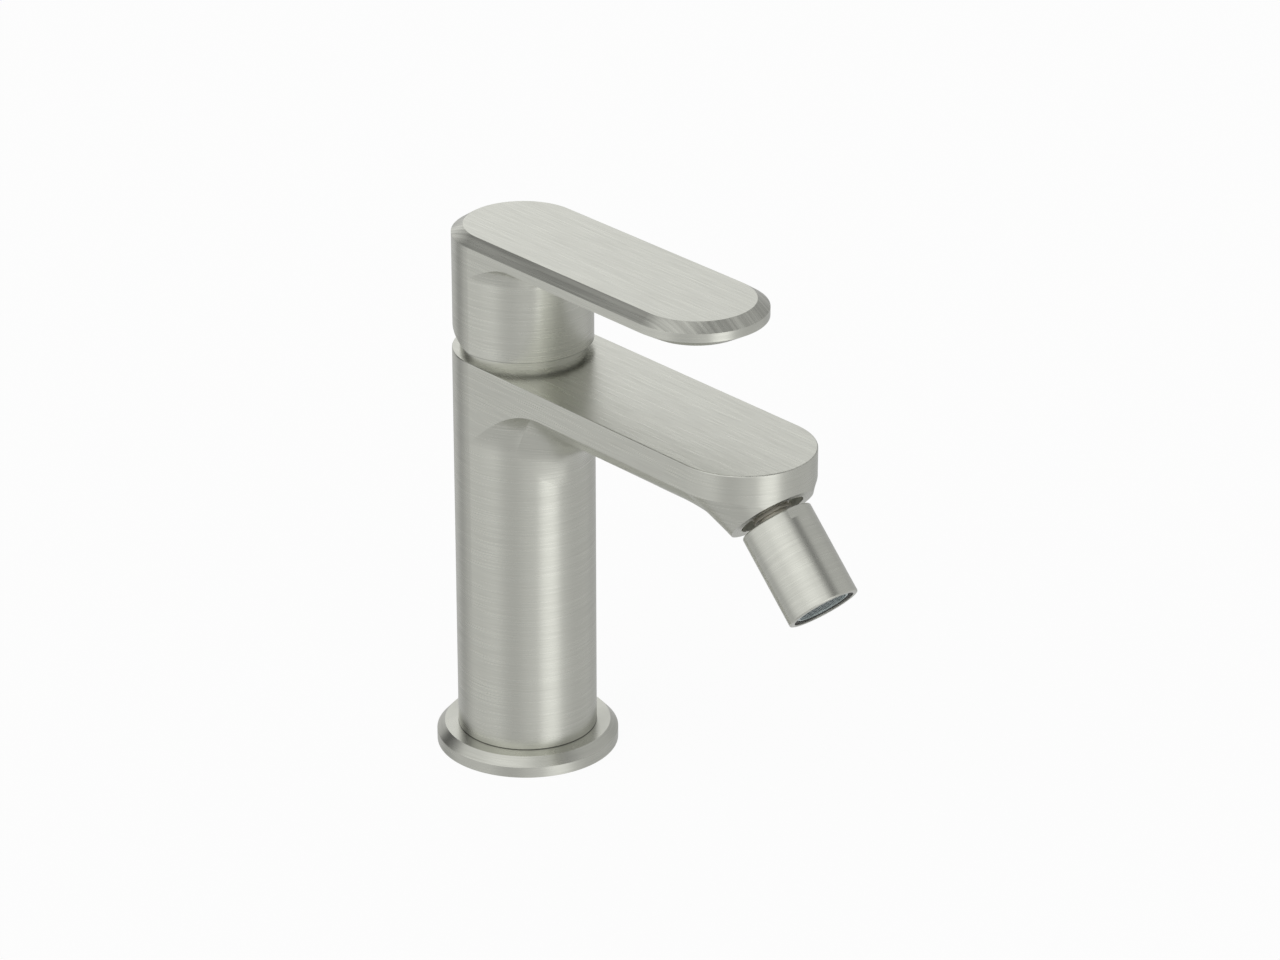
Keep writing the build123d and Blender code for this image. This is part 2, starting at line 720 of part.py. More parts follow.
# Ball stud: thread, grooved flange, neck and ball, bored through with a key socket
with BuildPart() as ball_stud:
    groove_low = stud_flange_reach - 2 * stud_groove_width
    groove_radius = stud_flange_radius - stud_groove_depth
    nozzle_ring(0, stud_thread_radius - screwed_gap, stud_end, stud_seat)
    nozzle_ring(0, stud_flange_radius, stud_seat, stud_flange_reach)
    nozzle_ring(
        groove_radius,
        stud_flange_radius + overrun,
        groove_low,
        groove_low + stud_groove_width,
        Mode.SUBTRACT,
    )
    nozzle_ring(0, ball_neck_radius, stud_flange_reach, ball_depth)
    ball_plane = nose_plane.offset(ball_depth)
    with Locations(ball_plane.location):
        Sphere(ball_radius)
    nozzle_ring(0, ball_bore_radius, stud_end, ball_depth + ball_radius, Mode.SUBTRACT)
    with BuildSketch(ball_plane.offset(ball_radius - ball_key_depth)):
        RegularPolygon(ball_key_width / 2, 6, major_radius=False)
    extrude(amount=ball_key_depth, mode=Mode.SUBTRACT)
save(ball_stud, "ball_stud")

# Stud washer in the nose's recess
with BuildPart() as stud_washer:
    nozzle_ring(stud_thread_radius, stud_washer_radius, -nose_recess_depth, stud_seat)
save(stud_washer, "stud_washer")


def ball_shell(inner, outer, near, far):
    """The part of a hollow ball round the stud's ball between two levels beside its centre."""
    with Locations(ball_plane.location):
        Sphere(outer)
    nozzle_ring(0, outer + overrun, near, far, Mode.INTERSECT)
    with Locations(ball_plane.location):
        Sphere(inner, mode=Mode.SUBTRACT)


# Slip ring: the part-ball that turns on the stud and that the nozzle tilts on
slip_ring_inner = ball_radius + turning_gap
slip_ring_outer = slip_ring_inner + slip_ring_thickness
with BuildPart() as slip_ring:
    slip_near = ball_depth - slip_ring_start
    slip_far = ball_depth - slip_ring_end
    ball_shell(slip_ring_inner, slip_ring_outer, slip_near, slip_far)
    nozzle_ring(0, ball_neck_radius + ball_neck_gap, slip_near, slip_far, Mode.SUBTRACT)
save(slip_ring, "slip_ring")

# Nozzle shell: mouth, ball seat and bore, with two flats for the spanner
with BuildPart() as nozzle_shell:
    nozzle_ring(0, nozzle_radius, nozzle_gap, shell_end)
    top_edge = edges().sort_by(nozzle_axis)[0]
    end_edge = edges().sort_by(nozzle_axis)[-1]
    fillet(top_edge, nozzle_top_round)
    fillet(end_edge, nozzle_end_round)
    for side in (-1, 1):
        flat_place = Plane(nose_centre, (1, 0, 0), nozzle_section.z_dir * side)
        with BuildSketch(flat_place.offset(nozzle_flat_width / 2)) as flat:
            Rectangle(2 * nozzle_radius, 2 * (nozzle_gap + nozzle_flat_length))
        extrude(flat.sketch, amount=overrun, mode=Mode.SUBTRACT)
    nozzle_ring(0, nozzle_mouth_radius, nozzle_gap, ball_depth, Mode.SUBTRACT)
    with Locations(ball_plane.location):
        Sphere(slip_ring_outer + turning_gap, mode=Mode.SUBTRACT)
    nozzle_ring(0, shell_bore_radius, ball_depth, shell_end, Mode.SUBTRACT)
save(nozzle_shell, "nozzle_shell")

# Seat washer: the cup that presses the ball up into the slip ring
with BuildPart() as seat_washer:
    nozzle_ring(0, aerator_radius, seat_washer_low, retainer_low)
    with Locations(ball_plane.location):
        Sphere(ball_radius + turning_gap, mode=Mode.SUBTRACT)
save(seat_washer, "seat_washer")

# Ball retainer: the ring screwed into the shell under the seat washer
with BuildPart() as ball_retainer:
    nozzle_ring(retainer_bore_radius, aerator_radius, retainer_low, aerator_seal_low)
save(ball_retainer, "ball_retainer")

# Aerator seal
with BuildPart() as aerator_seal:
    nozzle_ring(aerator_seal_bore, aerator_radius, aerator_seal_low, aerator_low)
save(aerator_seal, "aerator_seal")

# Aerator housing: a cup with an open top plate
with BuildPart() as aerator_housing:
    nozzle_ring(aerator_seal_bore, aerator_radius, aerator_low, aerator_low + aerator_wall)
    nozzle_ring(aerator_bore_radius, aerator_radius, aerator_low, shell_end - aerator_recess)
save(aerator_housing, "aerator_housing")

# Aerator sleeve: the bright ring in the housing's mouth
sleeve_radius = aerator_bore_radius - screwed_gap
sleeve_bore_radius = sleeve_radius - aerator_sleeve_wall
with BuildPart() as aerator_sleeve:
    nozzle_ring(sleeve_bore_radius, sleeve_radius, sleeve_end - aerator_sleeve_length, sleeve_end)
save(aerator_sleeve, "aerator_sleeve")

# Aerator screen: a grid of square cells in a thin rim
screen_radius = sleeve_bore_radius - screwed_gap
screen_span = int(screen_radius / (screen_cell + screen_bar))
with BuildPart() as aerator_screen:
    with BuildSketch(nose_plane.offset(screen_end - screen_thickness)) as grid:
        Circle(screen_radius)
        pitch = screen_cell + screen_bar
        with BuildSketch(mode=Mode.PRIVATE) as cells:
            Circle(screen_radius - screen_rim)
            with BuildSketch(mode=Mode.PRIVATE) as squares:
                with GridLocations(pitch, pitch, 2 * screen_span + 1, 2 * screen_span + 1):
                    Rectangle(screen_cell, screen_cell)
            add(squares.sketch, mode=Mode.INTERSECT)
        add(cells.sketch, mode=Mode.SUBTRACT)
    extrude(amount=screen_thickness)
save(aerator_screen, "aerator_screen")
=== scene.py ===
# %% [markdown]
# A bidet mixer in brushed nickel: a round column on a bevelled base ring, a flat arm with a
# round belly under it, a lever over the arm and a small nozzle turned down by 45 degrees.
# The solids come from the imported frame, already in place and in metres. Here they get
# their finishes, and the camera, the light and the floor are set up.

# %% Load the frame
import math

import bpy
import numpy as np
from mathutils import Matrix, Vector

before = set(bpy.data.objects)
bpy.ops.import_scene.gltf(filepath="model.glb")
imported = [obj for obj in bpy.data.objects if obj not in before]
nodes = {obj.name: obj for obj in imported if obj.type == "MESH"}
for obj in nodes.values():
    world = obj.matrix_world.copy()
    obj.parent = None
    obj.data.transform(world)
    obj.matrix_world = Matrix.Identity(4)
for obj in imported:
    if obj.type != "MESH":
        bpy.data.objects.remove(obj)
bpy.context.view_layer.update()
scene = bpy.context.scene

# %% [markdown]
# The camera stands where the photograph was taken: the mixer is seen from its left, a
# little from above, through a long lens, so that upright edges stay nearly parallel. It
# could be aimed by hand, but two angles and a distance from the point that it looks at can
# be fitted to the picture one by one. The lens and the sensor are in millimetres.

# %% Camera
camera_azimuth = math.radians(-41.224)
camera_elevation = math.radians(24.682)
camera_distance = 1.447
camera_right_shift = 0.034122
camera_up_shift = 0.077622
camera_lens = 133.65
sensor_width = 36.0
nearest_seen = 0.05

back = Vector((
    math.sin(camera_azimuth) * math.cos(camera_elevation),
    -math.cos(camera_azimuth) * math.cos(camera_elevation),
    math.sin(camera_elevation),
))
right = Vector((math.cos(camera_azimuth), math.sin(camera_azimuth), 0.0))
up = back.cross(right)
target = right * camera_right_shift + up * camera_up_shift
camera_data = bpy.data.cameras.new("camera")
camera_data.lens = camera_lens
camera_data.sensor_width = sensor_width
camera_data.clip_start = nearest_seen
camera = bpy.data.objects.new("camera", camera_data)
camera.matrix_world = Matrix.LocRotScale(
    target + back * camera_distance, back.to_track_quat("Z", "Y"), None
)
scene.collection.objects.link(camera)
scene.camera = camera
scene.view_settings.view_transform = "Standard"
print("camera at", [round(v, 3) for v in camera.matrix_world.translation])

# %% [markdown]
# The photograph has a plain white ground with no edge. A small plane would show where it
# ends, so the floor is a wide disc: points on a circle, joined by one face.

# %% Floor disc
floor_radius = 6.0
floor_points = 96

angles = np.linspace(0.0, 2.0 * math.pi, floor_points, endpoint=False)
rim = np.stack([floor_radius * np.cos(angles), floor_radius * np.sin(angles), 0 * angles], 1)
floor_mesh = bpy.data.meshes.new("floor")
floor_mesh.from_pydata(rim.tolist(), [], [list(range(floor_points))])
floor = bpy.data.objects.new("floor", floor_mesh)
scene.collection.objects.link(floor)
print("floor radius", floor_radius, "m")

# %% [markdown]
# A finish is a tree of shader nodes, and a few helpers make it read like a formula. White
# paint alone would turn grey under the lights and would show in the metal. So the camera
# sees the floor as white light, with only a share of paint left to show the shadow.
# Reflections pass through it to the studio around, as they would if the mixer stood on a
# glass table in a white tent, and that is how the photograph's column keeps its tone down
# to the base.

# %% Floor finish
floor_paint = (0.9, 0.9, 0.9, 1.0)
shadow_share = 0.06


def link(tree, source, target):
    """Joins one socket to another."""
    tree.links.new(source, target)


def set_input(tree, target, value):
    """Gives a socket a fixed number or vector, or joins another socket to it."""
    if isinstance(value, (int, float, tuple)):
        target.default_value = value
    else:
        link(tree, value, target)


def new_material(name):
    """A new material with an empty node tree, and that tree."""
    material = bpy.data.materials.new(name)
    material.use_nodes = True
    material.node_tree.nodes.clear()
    return material, material.node_tree


def operate(tree, kind, operation, values):
    """A node of one of the maths kinds, with an operation and its inputs."""
    node = tree.nodes.new(kind)
    node.operation = operation
    for place, value in enumerate(values):
        set_input(tree, node.inputs[place], value)
    return node


def math_node(tree, operation, *values):
    """The result of a sum on sockets or numbers."""
    return operate(tree, "ShaderNodeMath", operation, values).outputs[0]


def mixed(tree, share, first, second):
    """A mix of two shaders: the first where the share is 0, the second where it is 1."""
    node = tree.nodes.new("ShaderNodeMixShader")
    for place, source in enumerate((share, first, second)):
        link(tree, source, node.inputs[place])
    return node.outputs[0]


def show(tree, shader, kind="Material"):
    """Joins a shader to the output of a material's or the world's tree."""
    output = tree.nodes.new("ShaderNodeOutput" + kind)
    link(tree, shader, output.inputs["Surface"])


floor_material, floor_tree = new_material("floor_white")
ray = floor_tree.nodes.new("ShaderNodeLightPath").outputs
paint = floor_tree.nodes.new("ShaderNodeBsdfDiffuse")
paint.inputs["Color"].default_value = floor_paint
glow = floor_tree.nodes.new("ShaderNodeEmission")
see_through = floor_tree.nodes.new("ShaderNodeBsdfTransparent")
white_share = math_node(floor_tree, "MULTIPLY", ray["Is Camera Ray"], 1.0 - shadow_share)
to_camera = mixed(floor_tree, white_share, paint.outputs[0], glow.outputs[0])
mirrored = math_node(floor_tree, "MAXIMUM", ray["Is Glossy Ray"], ray["Is Transmission Ray"])
let_through = math_node(floor_tree, "MAXIMUM", mirrored, ray["Is Shadow Ray"])
show(floor_tree, mixed(floor_tree, let_through, to_camera, see_through.outputs[0]))
floor_mesh.materials.append(floor_material)
print("share of the floor that shows a shadow:", shadow_share)

# %% [markdown]
# What makes metal look like metal is the light and dark around it. Lamps would each leave a
# hard spot, so the studio is painted on the world as upright cards. Each has a middle
# azimuth, a half width, a soft side edge, a low and a high end, a soft end, all in degrees,
# and a strength. A strength above 0 is a soft box or a window, and one below 0 is a dark
# card. Where cards overlap, their strengths add up.

# %% Studio cards
wall_tone = 0.59
darkest_tone = 0.02
zenith = 90.0
cards = {
    "front_wall": (-164.0, 82.0, 8.0, -22.0, 90.0, 6.0, 0.31),
    "front_box": (-160.0, 23.0, 20.0, 14.0, 59.0, 16.0, 0.26),
    "side_strip": (-106.5, 9.5, 8.0, 13.0, 62.5, 4.0, 0.29),
    "low_window": (-92.0, 9.0, 14.0, -24.0, -3.5, 3.5, 0.87),
    "dark_roof": (-80.5, 35.0, 11.0, 55.5, 90.0, 17.0, -0.78),
    "dark_left": (112.0, 9.5, 12.0, -20.0, 50.0, 15.0, -0.54),
    "dark_behind": (68.0, 24.0, 6.0, 35.5, 50.5, 11.0, -0.43),
    "back_wall": (59.0, 11.0, 15.0, 3.5, 65.0, 7.5, 0.53),
    "dark_right": (15.0, 17.0, 8.0, -32.5, 26.5, 7.5, -0.08),
    "high_right": (26.0, 22.0, 11.0, 23.0, 90.0, 3.0, -0.14),
    "dark_floor": (-127.0, 174.0, 4.0, -90.0, -82.0, 4.0, -0.30),
    "low_front": (-96.0, 28.0, 26.0, -67.0, -28.0, 15.0, 0.36),
    "dark_front": (-136.0, 33.0, 12.0, -33.0, -6.0, 11.5, -0.22),
    "low_left": (-179.0, 16.0, 10.5, -26.0, 4.5, 6.0, 0.07),
}
print("cards:", len(cards), "of which dark:", sum(card[-1] < 0.0 for card in cards.values()))

# %% [markdown]
# A card is cut out by soft steps. The level part of a ray's direction, made 1 long, is set
# against the card's middle azimuth, and the ray's height against the card's two ends. A
# glowing mesh would do the same, but would stand in the way of other views.

# %% Light of a card
steepest = 89.9
narrowest = 0.5
widest = 179.0


def vector_node(tree, operation, *values):
    """The vector that a sum on sockets or fixed vectors gives."""
    return operate(tree, "ShaderNodeVectorMath", operation, values).outputs[0]


def measure(tree, operation, *values):
    """The number that a sum on sockets or fixed vectors gives."""
    return operate(tree, "ShaderNodeVectorMath", operation, values).outputs["Value"]


def separate(tree, vector):
    """The three numbers of a vector, named X, Y and Z."""
    node = tree.nodes.new("ShaderNodeSeparateXYZ")
    link(tree, vector, node.inputs[0])
    return node.outputs


def ramp(tree, value, low, high, smooth=False):
    """A value carried from low..high to 0..1 and held there."""
    node = tree.nodes.new("ShaderNodeMapRange")
    node.interpolation_type = "SMOOTHSTEP" if smooth else "LINEAR"
    node.inputs["From Min"].default_value = low
    node.inputs["From Max"].default_value = high
    link(tree, value, node.inputs["Value"])
    return node.outputs["Result"]


def rise(degrees):
    """The height on a unit sphere of an elevation in degrees."""
    return math.sin(math.radians(max(-steepest, min(steepest, degrees))))


def above(tree, height, elevation, end):
    """0 below an elevation and 1 above it, with a soft end on each side of it."""
    return ramp(tree, height, rise(elevation - end), rise(elevation + end), True)


def card_light(tree, heading, height, card):
    """A card's strength on the card, and 0 away from it."""
    azimuth, half_width, side, low, high, end, strength = card
    aim = (math.cos(math.radians(azimuth)), math.sin(math.radians(azimuth)), 0.0)
    outer = math.cos(math.radians(min(half_width + side, widest)))
    inner = math.cos(math.radians(max(half_width - side, narrowest)))
    share = ramp(tree, measure(tree, "DOT_PRODUCT", heading, aim), outer, inner, True)
    if low > -zenith:
        share = math_node(tree, "MULTIPLY", share, above(tree, height, low, end))
    if high < zenith:
        below = math_node(tree, "SUBTRACT", 1.0, above(tree, height, high, end))
        share = math_node(tree, "MULTIPLY", share, below)
    return math_node(tree, "MULTIPLY", share, strength)


print("heights of the front box:", [round(rise(end), 3) for end in cards["front_box"][3:5]])

# %% [markdown]
# The world gives each ray the tone of the wall with all the cards added, and never less
# than the darkest tone. The camera itself sees plain white, as the photograph's ground is,
# so the studio shows only in the metal.

# %% Studio world


def choose(tree, share, first, second, kind="FLOAT"):
    """first where the share is 0, second where it is 1, on numbers, vectors or colours."""
    places = {"FLOAT": (2, 3, 0), "VECTOR": (4, 5, 1), "RGBA": (6, 7, 2)}[kind]
    node = tree.nodes.new("ShaderNodeMix")
    node.data_type = kind
    link(tree, share, node.inputs[0])
    for place, value in zip(places, (first, second)):
        set_input(tree, node.inputs[place], value)
    return node.outputs[places[2]]


world = bpy.data.worlds.new("world")
scene.world = world
world.use_nodes = True
sky = world.node_tree
sky.nodes.clear()
direction = separate(sky, sky.nodes.new("ShaderNodeTexCoord").outputs["Generated"])
level_part = sky.nodes.new("ShaderNodeCombineXYZ")
link(sky, direction["X"], level_part.inputs["X"])
link(sky, direction["Y"], level_part.inputs["Y"])
heading = vector_node(sky, "NORMALIZE", level_part.outputs[0])
tone = wall_tone
for card in cards.values():
    tone = math_node(sky, "ADD", tone, card_light(sky, heading, direction["Z"], card))
tone = math_node(sky, "MAXIMUM", tone, darkest_tone)
background = sky.nodes.new("ShaderNodeBackground")
background.inputs["Color"].default_value = (1.0, 1.0, 1.0, 1.0)
from_camera = sky.nodes.new("ShaderNodeLightPath").outputs["Is Camera Ray"]
link(sky, choose(sky, from_camera, tone, 1.0), background.inputs["Strength"])
show(sky, background.outputs[0], "World")
print("studio: wall tone", wall_tone, "in", len(sky.nodes), "nodes")

# %% [markdown]
# Brushed nickel is a metal with thousands of fine scratches that all run one way. They
# could be a picture laid on the surface, but a noise stretched along the brushing needs no
# picture and no unwrapping, and stays on the piece when a joint turns. The streaks come in
# three sizes, in metres: the fine and the broad ones are mixed, and the coarse ones are for
# bevels.

# %% Streaks
fine, broad, coarse = 0, 1, 2
streak_widths = (0.00024, 0.00055, 0.0009)
streak_lengths = (0.012, 0.030, 0.045)
streak_mix = {fine: 0.6, broad: 0.4}


def noise(tree, vector, scale, detail=2.0, roughness=0.5):
    """A noise texture's grey value at a vector."""
    node = tree.nodes.new("ShaderNodeTexNoise")
    node.inputs["Scale"].default_value = scale
    node.inputs["Detail"].default_value = detail
    node.inputs["Roughness"].default_value = roughness
    link(tree, vector, node.inputs["Vector"])
    return node.outputs["Fac"]


def streaks(tree, vector, across, size):
    """Streak noise of one size: short steps on the across axes, long ones on the others."""
    width, length = streak_widths[size], streak_lengths[size]
    factors = tuple(1.0 / width if is_across else 1.0 / length for is_across in across)
    return noise(tree, vector_node(tree, "MULTIPLY", vector, factors), 1.0)


def brushing_marks(tree, vector, across):
    """Fine and broad streaks, mixed."""
    parts = [
        math_node(tree, "MULTIPLY", streaks(tree, vector, across, size), share)
        for size, share in streak_mix.items()
    ]
    return math_node(tree, "ADD", *parts)


print("streak widths in mm:", [round(width * 1000.0, 2) for width in streak_widths])

# %% [markdown]
# The brush went round the axis of a turned piece. On the body, the column and the lever it
# went round the upright faces and along the flat ones. One way for all would be simpler,
# but the photograph shows the streaks of the arm and of the column at right angles.

# %% Ways of brushing
flat_limit = 0.62


def brushed_round(tree, local, outward, axis):
    """The marks of a piece turned round an axis, and the way that they run."""
    marks = brushing_marks(tree, local, (False, False, True))
    return marks, vector_node(tree, "CROSS_PRODUCT", axis, outward)


def brushed_along(tree, local, normal, axis):
    """The marks of an arm, and the way that they run: along Y where its surface faces up or
    down, and round the axis elsewhere."""
    slope = math_node(tree, "ABSOLUTE", separate(tree, normal)["Z"])
    is_flat = math_node(tree, "GREATER_THAN", slope, flat_limit)
    on_upright = brushing_marks(tree, local, (False, False, True))
    on_flat = brushing_marks(tree, local, (True, False, True))
    round_axis = vector_node(tree, "CROSS_PRODUCT", axis, normal)
    brushing = choose(tree, is_flat, round_axis, (0.0, 1.0, 0.0), "VECTOR")
    return choose(tree, is_flat, on_upright, on_flat), brushing


steepest_flat = round(math.degrees(math.acos(flat_limit)))
print("a face counts as flat up to a slope of", steepest_flat, "degrees")

# %% [markdown]
# Three places differ from the plain brushed faces. The bevels look ground, with coarse
# streaks of strong contrast. Where two pieces meet, a thin band of painted shade stands in
# for the shadow in the gap. The recess round the ball is rough, because no brush gets in
# there, and its colour is painted lighter for the light that barely reaches inside. Each
# could have a material of its own, but a node's mesh is loose triangles with one finish, so
# here each is a change of tone on the same metal, found by the way that the surface faces or
# by its place.

# %% Bevels, seams and recess
bevel_start = (0.40, 0.60)
bevel_stop = (0.97, 0.85)
bevel_levels = (0.36, 0.64)
bevel_contrast = (0.78, 1.06)
# where the painted shade of a seam fades out, as shares of its width
seam_shade_edge = (0.6, 1.2)


def with_bevels(tree, shade, normal, local):
    """A tone with the bevels' own streaks wherever the surface faces up at a slant."""
    facing_up = separate(tree, normal)["Z"]
    starts = ramp(tree, facing_up, *bevel_start)
    stops = ramp(tree, facing_up, *bevel_stop)
    marks = ramp(tree, streaks(tree, local, (True, False, False), coarse), *bevel_levels)
    ground = choose(tree, marks, *bevel_contrast)
    return choose(tree, math_node(tree, "MULTIPLY", starts, stops), shade, ground)


def with_seam_shade(tree, shade, position, seam):
    """A tone darkened by painted shade up to a seam's width above its height, for the
    shadow in the gap where two pieces meet.
    """
    height, width, seam_shade_tone = seam
    edges = [height + share * width for share in seam_shade_edge]
    away = ramp(tree, separate(tree, position)["Z"], *edges)
    return math_node(tree, "MULTIPLY", shade, choose(tree, away, seam_shade_tone, 1.0))


def in_recess(tree, position, recess):
    """1 within a recess's radius of its axis and its depth of its centre, 0 elsewhere."""
    centre, axis, radius, depth = recess
    outward = vector_node(tree, "SUBTRACT", position, centre)
    distance = measure(tree, "LENGTH", vector_node(tree, "CROSS_PRODUCT", outward, axis))
    along = math_node(tree, "ABSOLUTE", measure(tree, "DOT_PRODUCT", outward, axis))
    near = math_node(tree, "LESS_THAN", distance, radius)
    return math_node(tree, "MULTIPLY", near, math_node(tree, "LESS_THAN", along, depth))


print("bevels' contrast:", bevel_contrast)

# %% [markdown]
# Scratches spread a reflection across themselves, so a highlight on brushed metal is drawn
# out at right angles to the brushing. A softer plain gloss would only blur it. The shader's
# anisotropy draws it out, and needs the crosswise direction in the world at each point.

# %% Direction, relief and tint


def upright(tree, outward, lean):
    """A place whose slanted axis is turned back to Z."""
    mapping = tree.nodes.new("ShaderNodeMapping")
    mapping.inputs["Rotation"].default_value = (-lean, 0.0, 0.0)
    link(tree, outward, mapping.inputs["Vector"])
    return mapping.outputs["Vector"]


def world_direction(tree, vector):
    """A direction on the object, turned into the world and made 1 long."""
    node = tree.nodes.new("ShaderNodeVectorTransform")
    node.vector_type = "VECTOR"
    node.convert_from = "OBJECT"
    node.convert_to = "WORLD"
    link(tree, vector, node.inputs[0])
    return vector_node(tree, "NORMALIZE", node.outputs[0])


def raised(tree, height, distance, strength):
    """The normal of a surface that a height moves by up to a distance in metres."""
    bump = tree.nodes.new("ShaderNodeBump")
    bump.inputs["Strength"].default_value = strength
    bump.inputs["Distance"].default_value = distance
    link(tree, height, bump.inputs["Height"])
    return bump.outputs[0]


def tinted(tree, color, shade):
    """A fixed colour times a tone."""
    node = tree.nodes.new("ShaderNodeVectorMath")
    node.operation = "SCALE"
    node.inputs[0].default_value = color
    link(tree, shade, node.inputs["Scale"])
    return node.outputs[0]


print("helpers for direction, relief and tint are ready")

# %% [markdown]
# One function makes every brushed metal here, so that all of them shine alike. From
# the marks it takes the tone, the roughness and the relief at each point, and then adds the
# bevels, the painted shade of a seam, or a recess with its painted light, where the piece
# has them. The relief is in metres.

# %% Brushed metal
brush_levels = (0.32, 0.68)
plain_contrast = (0.92, 1.06)
rough_contrast = (1.12, 0.88)
brush_relief = 0.000006
relief_strength = 0.5
# painted light: the recess's colour is made lighter, for the light that barely reaches into
# it
recess_painted_light = 1.5
recess_roughness = 0.6


def brushed_metal(
    name,
    color,
    roughness,
    anisotropy,
    lean=0.0,
    centre=(0.0, 0.0, 0.0),
    arm=False,
    seam=None,
    recess=None,
):
    """A brushed metal. The brushing runs round an axis, which is Z leaned about X, and on an
    arm it runs along Y wherever the surface faces up or down. A seam, given by a height, a
    width and a tone, darkens the metal with painted shade up to that width above the height,
    for the shadow in the gap where two pieces meet. A recess, given by a centre, an axis, a
    radius and a depth, is left as a rough casting whose colour is painted lighter, for the
    light that barely reaches into it."""
    material, tree = new_material(name)
    place = tree.nodes.new("ShaderNodeTexCoord").outputs
    position, normal = place["Object"], place["Normal"]
    axis = (0.0, -math.sin(lean), math.cos(lean))
    outward = vector_node(tree, "SUBTRACT", position, centre)
    local = upright(tree, outward, lean)
    if arm:
        marks, brushing = brushed_along(tree, local, normal, axis)
    else:
        marks, brushing = brushed_round(tree, local, outward, axis)
    crosswise = vector_node(tree, "CROSS_PRODUCT", normal, brushing)

    shader = tree.nodes.new("ShaderNodeBsdfPrincipled")
    shader.inputs["Metallic"].default_value = 1.0
    shader.inputs["Anisotropic"].default_value = anisotropy
    link(tree, world_direction(tree, crosswise), shader.inputs["Tangent"])
    level = ramp(tree, marks, *brush_levels)
    shade = choose(tree, level, *plain_contrast)
    rough = choose(tree, level, *(roughness * share for share in rough_contrast))
    if arm:
        shade = with_bevels(tree, shade, normal, local)
    # painted shade along a seam, for the shadow in the gap between two pieces
    if seam:
        shade = with_seam_shade(tree, shade, position, seam)
    if recess:
        # in the recess the casting is rough and dull, and its colour is painted lighter for
        # the light that barely reaches in
        within = in_recess(tree, position, recess)
        shade = choose(tree, within, shade, recess_painted_light)
        rough = choose(tree, within, rough, recess_roughness)
        link(tree, choose(tree, within, 1.0, 0.0), shader.inputs["Metallic"])
    link(tree, tinted(tree, color, shade), shader.inputs["Base Color"])
    link(tree, rough, shader.inputs["Roughness"])
    relief = raised(tree, marks, brush_relief, relief_strength)
    link(tree, relief, shader.inputs["Normal"])
    show(tree, shader.outputs[0])
    return material


print("relief of the brushing:", round(brush_relief * 1000000.0, 1), "thousandths of a mm")

# %% [markdown]
# The nickel is the same all over, but each outer piece was brushed in its own way. The body,
# the column and the lever are brushed like an arm. The rings and the plug are turned round
# Z, and the nozzle is turned round its own slanted axis. One material for all would be
# shorter, but its streaks would run the wrong way on the nozzle. Painted shade darkens the
# seams where the column leaves the base ring and where the hub ends, for the shadow in
# those gaps.

# %% Brushed nickel
nickel = {"color": (0.615, 0.62, 0.565), "roughness": 0.29, "anisotropy": 0.68}
ring_tone = 0.95
nozzle_lean = math.radians(-45.0)
nozzle_centre = (0.0, -0.1146615, 0.1053851)
nozzle_axis = (0.0, -math.sin(nozzle_lean), math.cos(nozzle_lean))
recess_radius = 0.00985
recess_depth = 0.016
# bands of painted shade for the shadow in the gaps at the column's foot and under the hub:
# width in metres and tone
foot_shade_width, foot_shade_tone = 0.00025, 0.22
hub_shade_width, hub_shade_tone = 0.0003, 0.72


def heights(node):
    """The heights of a node's points above the deck, in metres."""
    return [vertex.co.z for vertex in nodes[node].data.vertices]


def dress(finishes):
    """Gives nodes of the frame their finishes."""
    for node, material in finishes.items():
        nodes[node].data.materials.clear()
        nodes[node].data.materials.append(material)


nose_recess = (nozzle_centre, nozzle_axis, recess_radius, recess_depth)
# the painted shade starts at the top of the base ring and at the lowest point of the lever
foot_seam_shade = (max(heights("base_ring")), foot_shade_width, foot_shade_tone)
hub_seam_shade = (min(heights("lever")), hub_shade_width, hub_shade_tone)
turned = brushed_metal("nickel_round", **nickel)
ring_nickel = {**nickel, "color": tuple(ring_tone * c for c in nickel["color"])}
outer_finishes = {
    "body": brushed_metal("nickel_body", **nickel, arm=True, recess=nose_recess),
    "column": brushed_metal("nickel_column", **nickel, arm=True, seam=foot_seam_shade),
    "lever": brushed_metal("nickel_lever", **nickel, arm=True, seam=hub_seam_shade),
    "base_ring": brushed_metal("nickel_ring", **ring_nickel),
    "cover_ring": turned,
    "screw_plug": turned,
    "nozzle_shell": brushed_metal(
        "nickel_nozzle", **nickel, lean=nozzle_lean, centre=nozzle_centre
    ),
}
dress(outer_finishes)
print("seams at", [round(seam[0], 4) for seam in (foot_seam_shade, hub_seam_shade)], "m above the deck")
print("brushed nickel on", ", ".join(outer_finishes))

# %% [markdown]
# The pieces inside are seen only when the lever is lifted or the nozzle is looked into.
# They could each have one flat colour, but real mouldings and platings are never quite
# even. So plated, moulded and rubber pieces get a solid colour with a slight mottling, from
# a noise that is the same in all directions.

# %% Mottled finishes
mottle_detail = 4.0
mottle_roughness = 0.6
mottle_strength = 0.15
mottle_rough_contrast = (0.8, 1.2)


def mottled(name, color, roughness, metallic=0.0, grain=900.0, depth=0.1, relief=0.00002):
    """A solid finish whose tone and roughness vary with a fine noise."""
    material, tree = new_material(name)
    place = tree.nodes.new("ShaderNodeTexCoord").outputs
    spots = noise(tree, place["Object"], grain, mottle_detail, mottle_roughness)
    dark = tuple(c * (1.0 - depth) for c in color) + (1.0,)
    light = tuple(min(c * (1.0 + depth), 1.0) for c in color) + (1.0,)
    rough = choose(tree, spots, *(roughness * share for share in mottle_rough_contrast))
    shader = tree.nodes.new("ShaderNodeBsdfPrincipled")
    shader.inputs["Metallic"].default_value = metallic
    link(tree, choose(tree, spots, dark, light, "RGBA"), shader.inputs["Base Color"])
    link(tree, rough, shader.inputs["Roughness"])
    link(tree, raised(tree, spots, relief, mottle_strength), shader.inputs["Normal"])
    show(tree, shader.outputs[0])
    return material


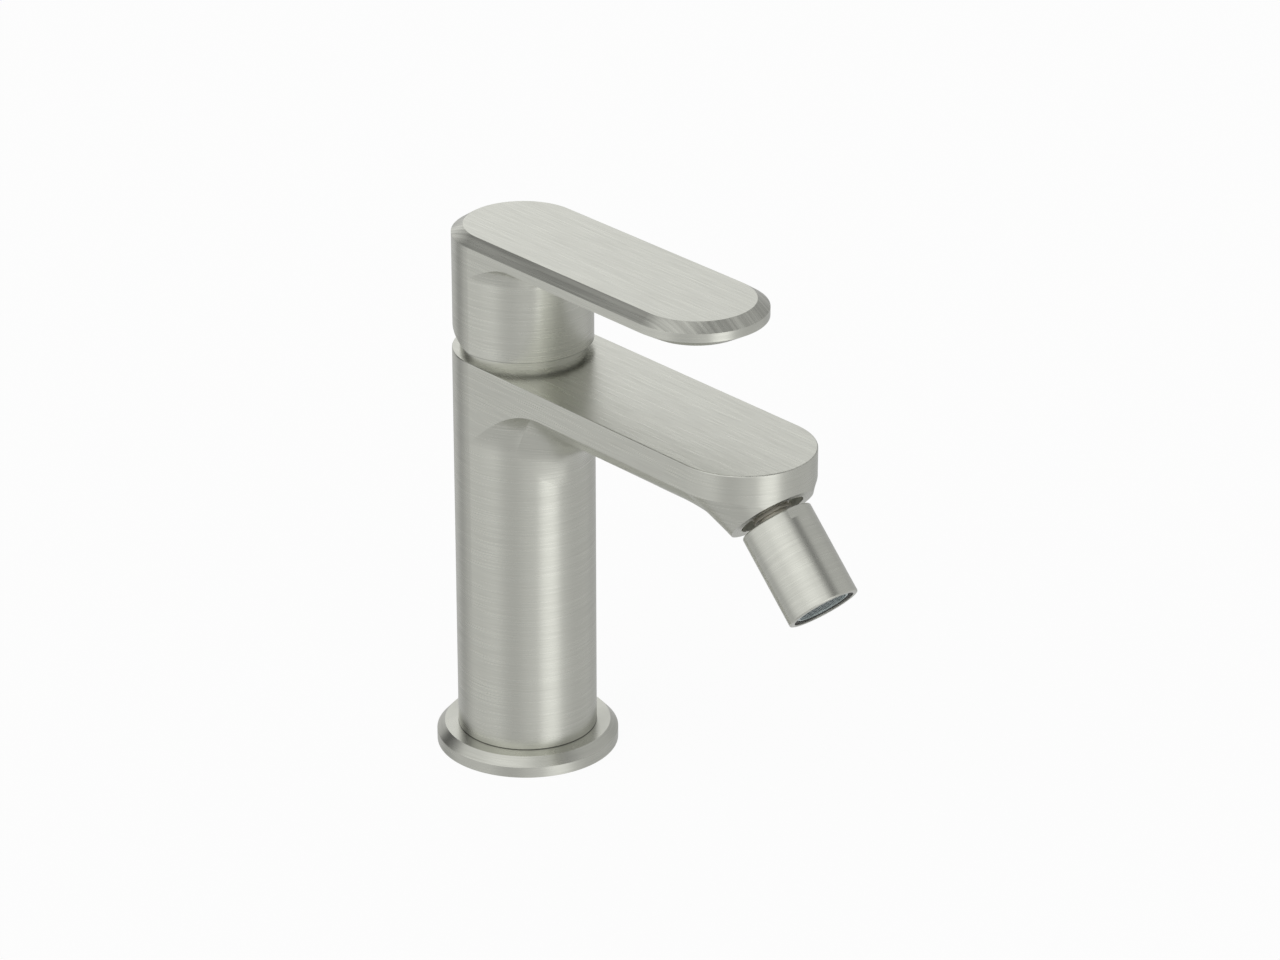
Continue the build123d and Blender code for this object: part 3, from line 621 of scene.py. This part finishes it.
ceramic = mottled("ceramic", (0.9, 0.89, 0.85), 0.25, depth=0.03)
white_plastic = mottled("white_plastic", (0.8, 0.8, 0.78), 0.4, depth=0.04)
grey_plastic = mottled("grey_plastic", (0.20, 0.24, 0.245), 0.35, depth=0.05)
red_plastic = mottled("red_plastic", (0.5, 0.05, 0.04), 0.4)
black_plastic = mottled("black_plastic", (0.012, 0.012, 0.012), 0.55)
rubber = mottled("rubber", (0.03, 0.03, 0.03), 0.7, grain=2500.0)
print("mottled finishes: ceramic, four plastics and rubber")

# %% [markdown]
# Inner metal pieces come in two kinds. Brass and steel are turned on a lathe, which leaves
# the same kind of marks as brushing, so they share its shader. The ball stud and the
# nozzle's sleeve are plated and have no marks, so they are mottled metals with almost no
# relief.

# %% Inner metals
plated = {"metallic": 1.0, "relief": 0.000002}

brass = brushed_metal("turned_brass", (0.74, 0.55, 0.27), roughness=0.28, anisotropy=0.5)
steel = brushed_metal("turned_steel", (0.56, 0.56, 0.56), roughness=0.25, anisotropy=0.5)
bright_plate = mottled("bright_plate", (0.60, 0.66, 0.65), 0.45, depth=0.02, **plated)
satin_nickel = mottled("satin_nickel", (0.60, 0.575, 0.50), 0.42, depth=0.04, **plated)
inner_finishes = {
    "retaining_nut": brass,
    "hose_block": brass,
    "ball_retainer": brass,
    "ball_stud": satin_nickel,
    "lever_stem": steel,
    "pivot_pin": steel,
    "set_screw": steel,
    "aerator_sleeve": bright_plate,
    "fixed_disc": ceramic,
    "moving_disc": ceramic,
    "cartridge_base": white_plastic,
    "cartridge_housing": white_plastic,
    "disc_carrier": white_plastic,
    "turning_collar": white_plastic,
    "turn_stop": white_plastic,
    "slip_ring": white_plastic,
    "seat_washer": white_plastic,
    "hot_limit_ring": red_plastic,
    "aerator_housing": black_plastic,
    "aerator_screen": grey_plastic,
    "base_gasket": rubber,
    "port_seals": rubber,
    "block_seals": rubber,
    "gland_seal": rubber,
    "stud_washer": rubber,
    "aerator_seal": rubber,
}
dress(inner_finishes)
print("finishes on", len(outer_finishes) + len(inner_finishes), "of", len(nodes), "nodes")
